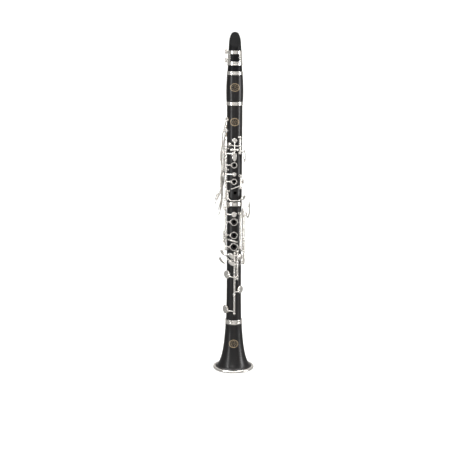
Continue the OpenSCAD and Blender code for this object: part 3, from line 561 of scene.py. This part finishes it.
BELL_TOP = top_of("bell")
MIDDLE_SEAM = top_of("lower_joint")
BARREL_TOP = top_of("barrel")
BARREL_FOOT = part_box("barrel")[0][2] / MM
RIM_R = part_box("bell_rings")[1][0] / MM


# ---------------------------------------------------------------- bell

THROAT_R = 11.0
BELL_SOCKET_R = 13.25
BELL_SOCKET_FLOOR = 80.0
BELL_RING_SEAT_R = 15.4
BELL_RING_R = 16.9
BELL_RING_HEIGHT = 9
RIM_TUBE_R = 2.3
RIM_SEAT_R = 36.4

# Heights up the flare, closer together where it curves faster
INSIDE_HEIGHTS = (0.5, 0.9, 1.4, 2, 2.8, 3.8, 5, 6.5, 8.5, 11, 14, 18, 22, 27, 32, 38, 45, 52, 60, 67)
OUTSIDE_HEIGHTS = (70, 62, 54, 47, 41, 36, 31, 27, 23.5, 20, 17, 14.5, 12.2, 10.2, 8.5, 7.2, 6.2)


def bell_outside(z):
    return 15.6 + 18.6 * math.exp(-z / 35) + 6.5 * math.exp(-z / 4.5)


def bell_inside(z):
    return max(THROAT_R, 8.2 + 21.5 * math.exp(-z / 33) + 5 * math.exp(-z / 3.5))


def bell():
    top = BELL_TOP
    seat = top - BELL_RING_HEIGHT
    wood = [(bell_inside(z), z) for z in INSIDE_HEIGHTS]
    wood += [(THROAT_R, BELL_SOCKET_FLOOR), (BELL_SOCKET_R, BELL_SOCKET_FLOOR), (BELL_SOCKET_R, top),
             (BELL_RING_SEAT_R, top), (BELL_RING_SEAT_R, seat), (16.8, seat - 0.5), (16.9, seat - 1.2),
             (16.8, seat - 5), (16.95, BELL_SOCKET_FLOOR + 1)]
    wood += [(bell_outside(z), z) for z in OUTSIDE_HEIGHTS]
    wood += [(34.6, 5.4), (36.3, 4.7), (RIM_SEAT_R, 4.4), (RIM_SEAT_R, 0.5)]
    turned("bell_wood", (wood,), "bell", "blackwood", ("bell",), 144)

    rim = []
    for a in range(-90, 91, 10):
        turn = math.radians(a)
        rim.append((RIM_R - RIM_TUBE_R * (1 - math.cos(turn)), RIM_TUBE_R * (1 + math.sin(turn))))
    rim += [(RIM_R - 4.0, 4.6), (RIM_R - 4.4, 4.5), (RIM_R - 4.6, 4.2), (RIM_R - 4.6, 0.3),
            (RIM_R - 4.3, 0.0)]
    groove = (top - 5.4, top - 5, top - 4, top - 3.6)
    ring = banded(seat, top, BELL_RING_SEAT_R, BELL_RING_R, groove, 0.3, 0.4, 0.35, 3)
    turned("bell_rings_turned", (rim, ring), "bell", "silver_plate", ("bell_rings",), 144, 40)


bell()


# ---------------------------------------------------------------- joints and barrel

JOINT_R = 15.07
BARREL_BULGE_R = 16.6
BARREL_BULGE_Z = BARREL_FOOT + 24.9
FOOT_RING_HEIGHT = 7
FOOT_RING_SEAT_R = 14.4
HEAD_RING_HEIGHT = 6.6
HEAD_RING_SEAT_R = 14.2
BARREL_BORE_R = 7.4
FOOT_SOCKET = (11.65, 17.4)
HEAD_SOCKET = (11.05, 18.4)
LOWER_RING_HEIGHT = 7.4


def barrel_outside(z):
    return BARREL_BULGE_R - 0.0013 * (z - BARREL_BULGE_Z) ** 2


def barrel():
    foot, head = BARREL_FOOT, BARREL_TOP
    foot_ring, head_ring = foot + FOOT_RING_HEIGHT, head - HEAD_RING_HEIGHT
    wood = [(FOOT_SOCKET[0], foot), (FOOT_RING_SEAT_R, foot), (FOOT_RING_SEAT_R, foot_ring),
            (15.9, foot_ring + 0.1), (16.1, foot_ring + 0.4)]
    wood += [(barrel_outside(z), z) for z in np.linspace(foot_ring + 2.5, head_ring - 1.4, 24)]
    wood += [(15.45, head_ring - 0.5), (15.2, head_ring - 0.1), (HEAD_RING_SEAT_R, head_ring),
             (HEAD_RING_SEAT_R, head), (HEAD_SOCKET[0], head), (HEAD_SOCKET[0], head - HEAD_SOCKET[1]),
             (BARREL_BORE_R, head - HEAD_SOCKET[1]), (BARREL_BORE_R, foot + FOOT_SOCKET[1]),
             (FOOT_SOCKET[0], foot + FOOT_SOCKET[1])]
    turned("barrel_wood", (wood,), "barrel", "blackwood", ("barrel",))

    def ring(bottom, height, inner, outer):
        groove = [bottom + height * share for share in (0.42, 0.5, 0.58)]
        return banded(bottom, bottom + height, inner, outer, groove, 0.4, 0.3, 0.5, 4)

    rings = (ring(foot, FOOT_RING_HEIGHT, FOOT_RING_SEAT_R, 16),
             ring(head_ring, HEAD_RING_HEIGHT, HEAD_RING_SEAT_R, 15.6))
    turned("barrel_rings_turned", rings, "barrel", "silver_plate", ("barrel_rings",), angle=40)


def lower_socket_ring():
    top = MIDDLE_SEAM
    groove = (top - 4.2, top - 3.8, top - 3.4)
    ring = banded(top - LOWER_RING_HEIGHT, top, 14.4, 15.9, groove, 0.3, 0.4, 0.35, 3)
    turned("lower_socket_ring_turned", (ring,), "lower_joint", "silver_plate", ("lower_socket_ring",),
           angle=40)


for joint in ("lower_joint", "upper_joint"):
    smooth(welded(joint, joint + "_wood"), 33)
barrel()
lower_socket_ring()


# ---------------------------------------------------------------- inlays

INLAY_DEPTH = 0.25
INLAY_LIFT = 0.02
PETALS = 8


def emblem(name, body, z, radius, half_width, half_height):
    """Plain oval inlay in the wood's front face: a ring, a finer ring inside it, petals and a small oval."""
    shape = Shape()

    def at(u, h, proud):
        return polar(math.degrees(u / radius(z)), radius(z + h) + proud, z + h)

    def oval_ring(share_wide, share_high, width, steps=72):
        a, b = half_width * share_wide, half_height * share_high
        rings = []
        for k in range(steps):
            t = 2 * math.pi * k / steps
            c, s = math.cos(t), math.sin(t)
            rings.append([at(c * (a - inset), s * (b - inset), proud) for inset, proud in (
                (width, -INLAY_DEPTH), (width, INLAY_LIFT), (width / 2, INLAY_LIFT + 0.025),
                (0, INLAY_LIFT), (0, -INLAY_DEPTH))])
        shape.rings(rings, closed=True)

    def petal(turn, near, far, width, steps=20):
        c, s = math.cos(turn), math.sin(turn)
        rings = []
        for size, proud in ((1.0, -INLAY_DEPTH), (1.0, INLAY_LIFT), (0.55, INLAY_LIFT + 0.03),
                            (0.1, INLAY_LIFT + 0.035)):
            ring = []
            for k in range(steps):
                t = 2 * math.pi * k / steps
                along = (near + far) / 2 + (far - near) / 2 * size * math.cos(t)
                across = width / 2 * size * math.sin(t)
                u, h = along * c - across * s, along * s + across * c
                ring.append(at(u * half_width, h * half_height, proud))
            rings.append(ring)
        shape.rings(rings)

    oval_ring(1, 1, 0.75)
    oval_ring(0.80, 0.78, 0.16)
    oval_ring(0.18, 0.18, 0.3)
    for k in range(PETALS):
        petal(2 * math.pi * (k + 0.5) / PETALS, 0.36, 0.66, 0.07)
    smooth(piece(name, shape.mesh(name), body, "blackwood", INLAY), 40)


emblem("barrel_inlay", "barrel", 565.0, barrel_outside, 9.4, 7.8)
emblem("upper_inlay", "upper_joint", 498.5, lambda z: JOINT_R, 8.9, 7.5)
emblem("bell_inlay", "bell", 55.0, bell_outside, 9.4, 7.9)


# ---------------------------------------------------------------- metal and mouthpiece

PLATE_THICK = 1.5
DOME_HIGH = 0.75
DOME_SUNK = 0.35
DOME_SHARE = 0.47


def dome(p, angle, length, width, lean):
    """Low dome on a finger plate, so that its edge falls away: p is the middle of the plate's underside,
    angle the way it faces from the front, and lean how far it turns in its own plane."""
    a, b = math.radians(angle), math.radians(lean)
    side = np.array((math.cos(a), math.sin(a), 0))
    up = np.array((0, 0, 1))
    out = np.array((math.sin(a), -math.cos(a), 0))
    axes = np.array([math.cos(b) * side + math.sin(b) * up, math.cos(b) * up - math.sin(b) * side, out])
    radii = (width * DOME_SHARE, length * DOME_SHARE, DOME_HIGH + DOME_SUNK)
    return Shape().blob(np.array(p, float) + out * (PLATE_THICK - DOME_SUNK), axes, radii)


def swung(shape, line, angle):
    """Turns a shape about a line parallel to Z."""
    a = math.radians(angle)
    c, s = math.cos(a), math.sin(a)
    x, y = line
    shape.v = [(x + (px - x) * c - (py - y) * s, y + (px - x) * s + (py - y) * c, z) for px, py, z in shape.v]
    return shape


# Finger plates: the middle, the angle they face, length, width and lean
PLATES = {
    "register_key": (polar(180, 21.8, 446), 180, 17, 7, 0),
    "throat_a_key": (polar(0, 21.6, 431.5), 0, 17, 9, 0),
    "throat_g_sharp_key": (polar(62, 21.2, 432), 62, 24, 7, 8),
    "cross_c_sharp_key": (polar(56, 20.4, 350), 56, 7.4, 15, 18),
    "right_f_sharp_key": ((-21.3, -14, 240.6), -42, 16, 8, 57),
    "right_e_key": ((-22.3, -14.4, 225.4), -42, 18, 9, 60),
    "right_a_flat_key": ((-5, -24.6, 236.2), -11, 17.5, 9, 57),
    "right_f_key": ((-5, -25, 221.6), -11, 16, 7.4, 60),
    "left_e_lever": ((17.5, -19, 323), 30, 20, 8, -4),
    "left_f_lever": ((26.5, -10.5, 320.5), 45, 22, 10, -4),
    "left_f_sharp_lever": ((29, 2, 333), 75, 16, 8, 0)}

# Hinge lines of the two keys whose plates are given closed, and the angle that they stand open
OPEN_LINES = {"right_e_key": (1.0, -20.2), "right_f_key": (6.6, -19.4)}
LOW_OPEN = 5.0

# Side levers: their half width and their route from the pad arm to the touch
STRAPS = {
    "side_key_1": (2.1, [(-24, -6, 473), (-23.6, -4.6, 455), (-26.4, -2.6, 438), (-26.4, -1.4, 425),
                         (-24.6, -1.2, 407), (-26.6, -1, 390), (-27, -1, 362), (-34, -1, 353)]),
    "side_key_2": (2.1, [(-20.4, 14, 450), (-21, 14.8, 420), (-21.4, 14.6, 382), (-25, 12.6, 366),
                         (-34, 8, 344)]),
    "side_key_3": (1.4, [(-22.6, 3.2, 440), (-24.4, 2.8, 431), (-25.2, 2.6, 405), (-25.6, 2.6, 380),
                         (-26, 2.4, 345), (-28.4, 2.4, 334)]),
    "side_key_4": (2.1, [(-23, 6.8, 396), (-24.4, 6.8, 380), (-24.6, 6.8, 345), (-27.4, 7.4, 324)])}
STRAP_START, STRAP_END = 0.9, 1.5

SLIVER_ROUTE = [(-15.4, -7, 267.6), (-12, -12.4, 267), (-6, -17.6, 265.6), (0, -18.8, 264.2),
                (6.4, -17.8, 262.6)]
SLIVER_WIDTHS = [1.0, 1.3, 1.8, 1.9, 1.4]

METAL = ("register_key", "thumb_ring_key", "first_ring_key", "second_ring_key", "throat_a_key",
         "throat_g_sharp_key", "side_key_1", "side_key_2", "side_key_3", "side_key_4", "upper_sliver_key",
         "cross_c_sharp_key", "lower_ring_key", "lower_sliver_key", "right_f_sharp_key", "right_e_key",
         "right_a_flat_key", "right_f_key", "left_e_lever", "left_f_lever", "left_f_sharp_lever", "ligature",
         "ligature_screw_upper", "ligature_screw_lower", "thumb_rest", "upper_posts", "lower_posts")


def extras():
    """Shapes that some keys have beyond the CAD, by key."""
    made = {key: dome(*plate) for key, plate in PLATES.items()}
    for key, line in OPEN_LINES.items():
        swung(made[key], line, LOW_OPEN)
    for key, (half_width, route) in STRAPS.items():
        widths = [STRAP_START] + [half_width] * (len(route) - 2) + [STRAP_END]
        made[key] = Shape().sweep(route, widths, 0.95, side=(1, 0, 0))
    made["lower_sliver_key"] = Shape().sweep(SLIVER_ROUTE, SLIVER_WIDTHS, 0.9, side=(0, 0, 1))
    return made


EXTRAS = extras()
for key in METAL:
    cast(key, EXTRAS.get(key))
cast("mouthpiece", voxel=0.35, rounds=6)
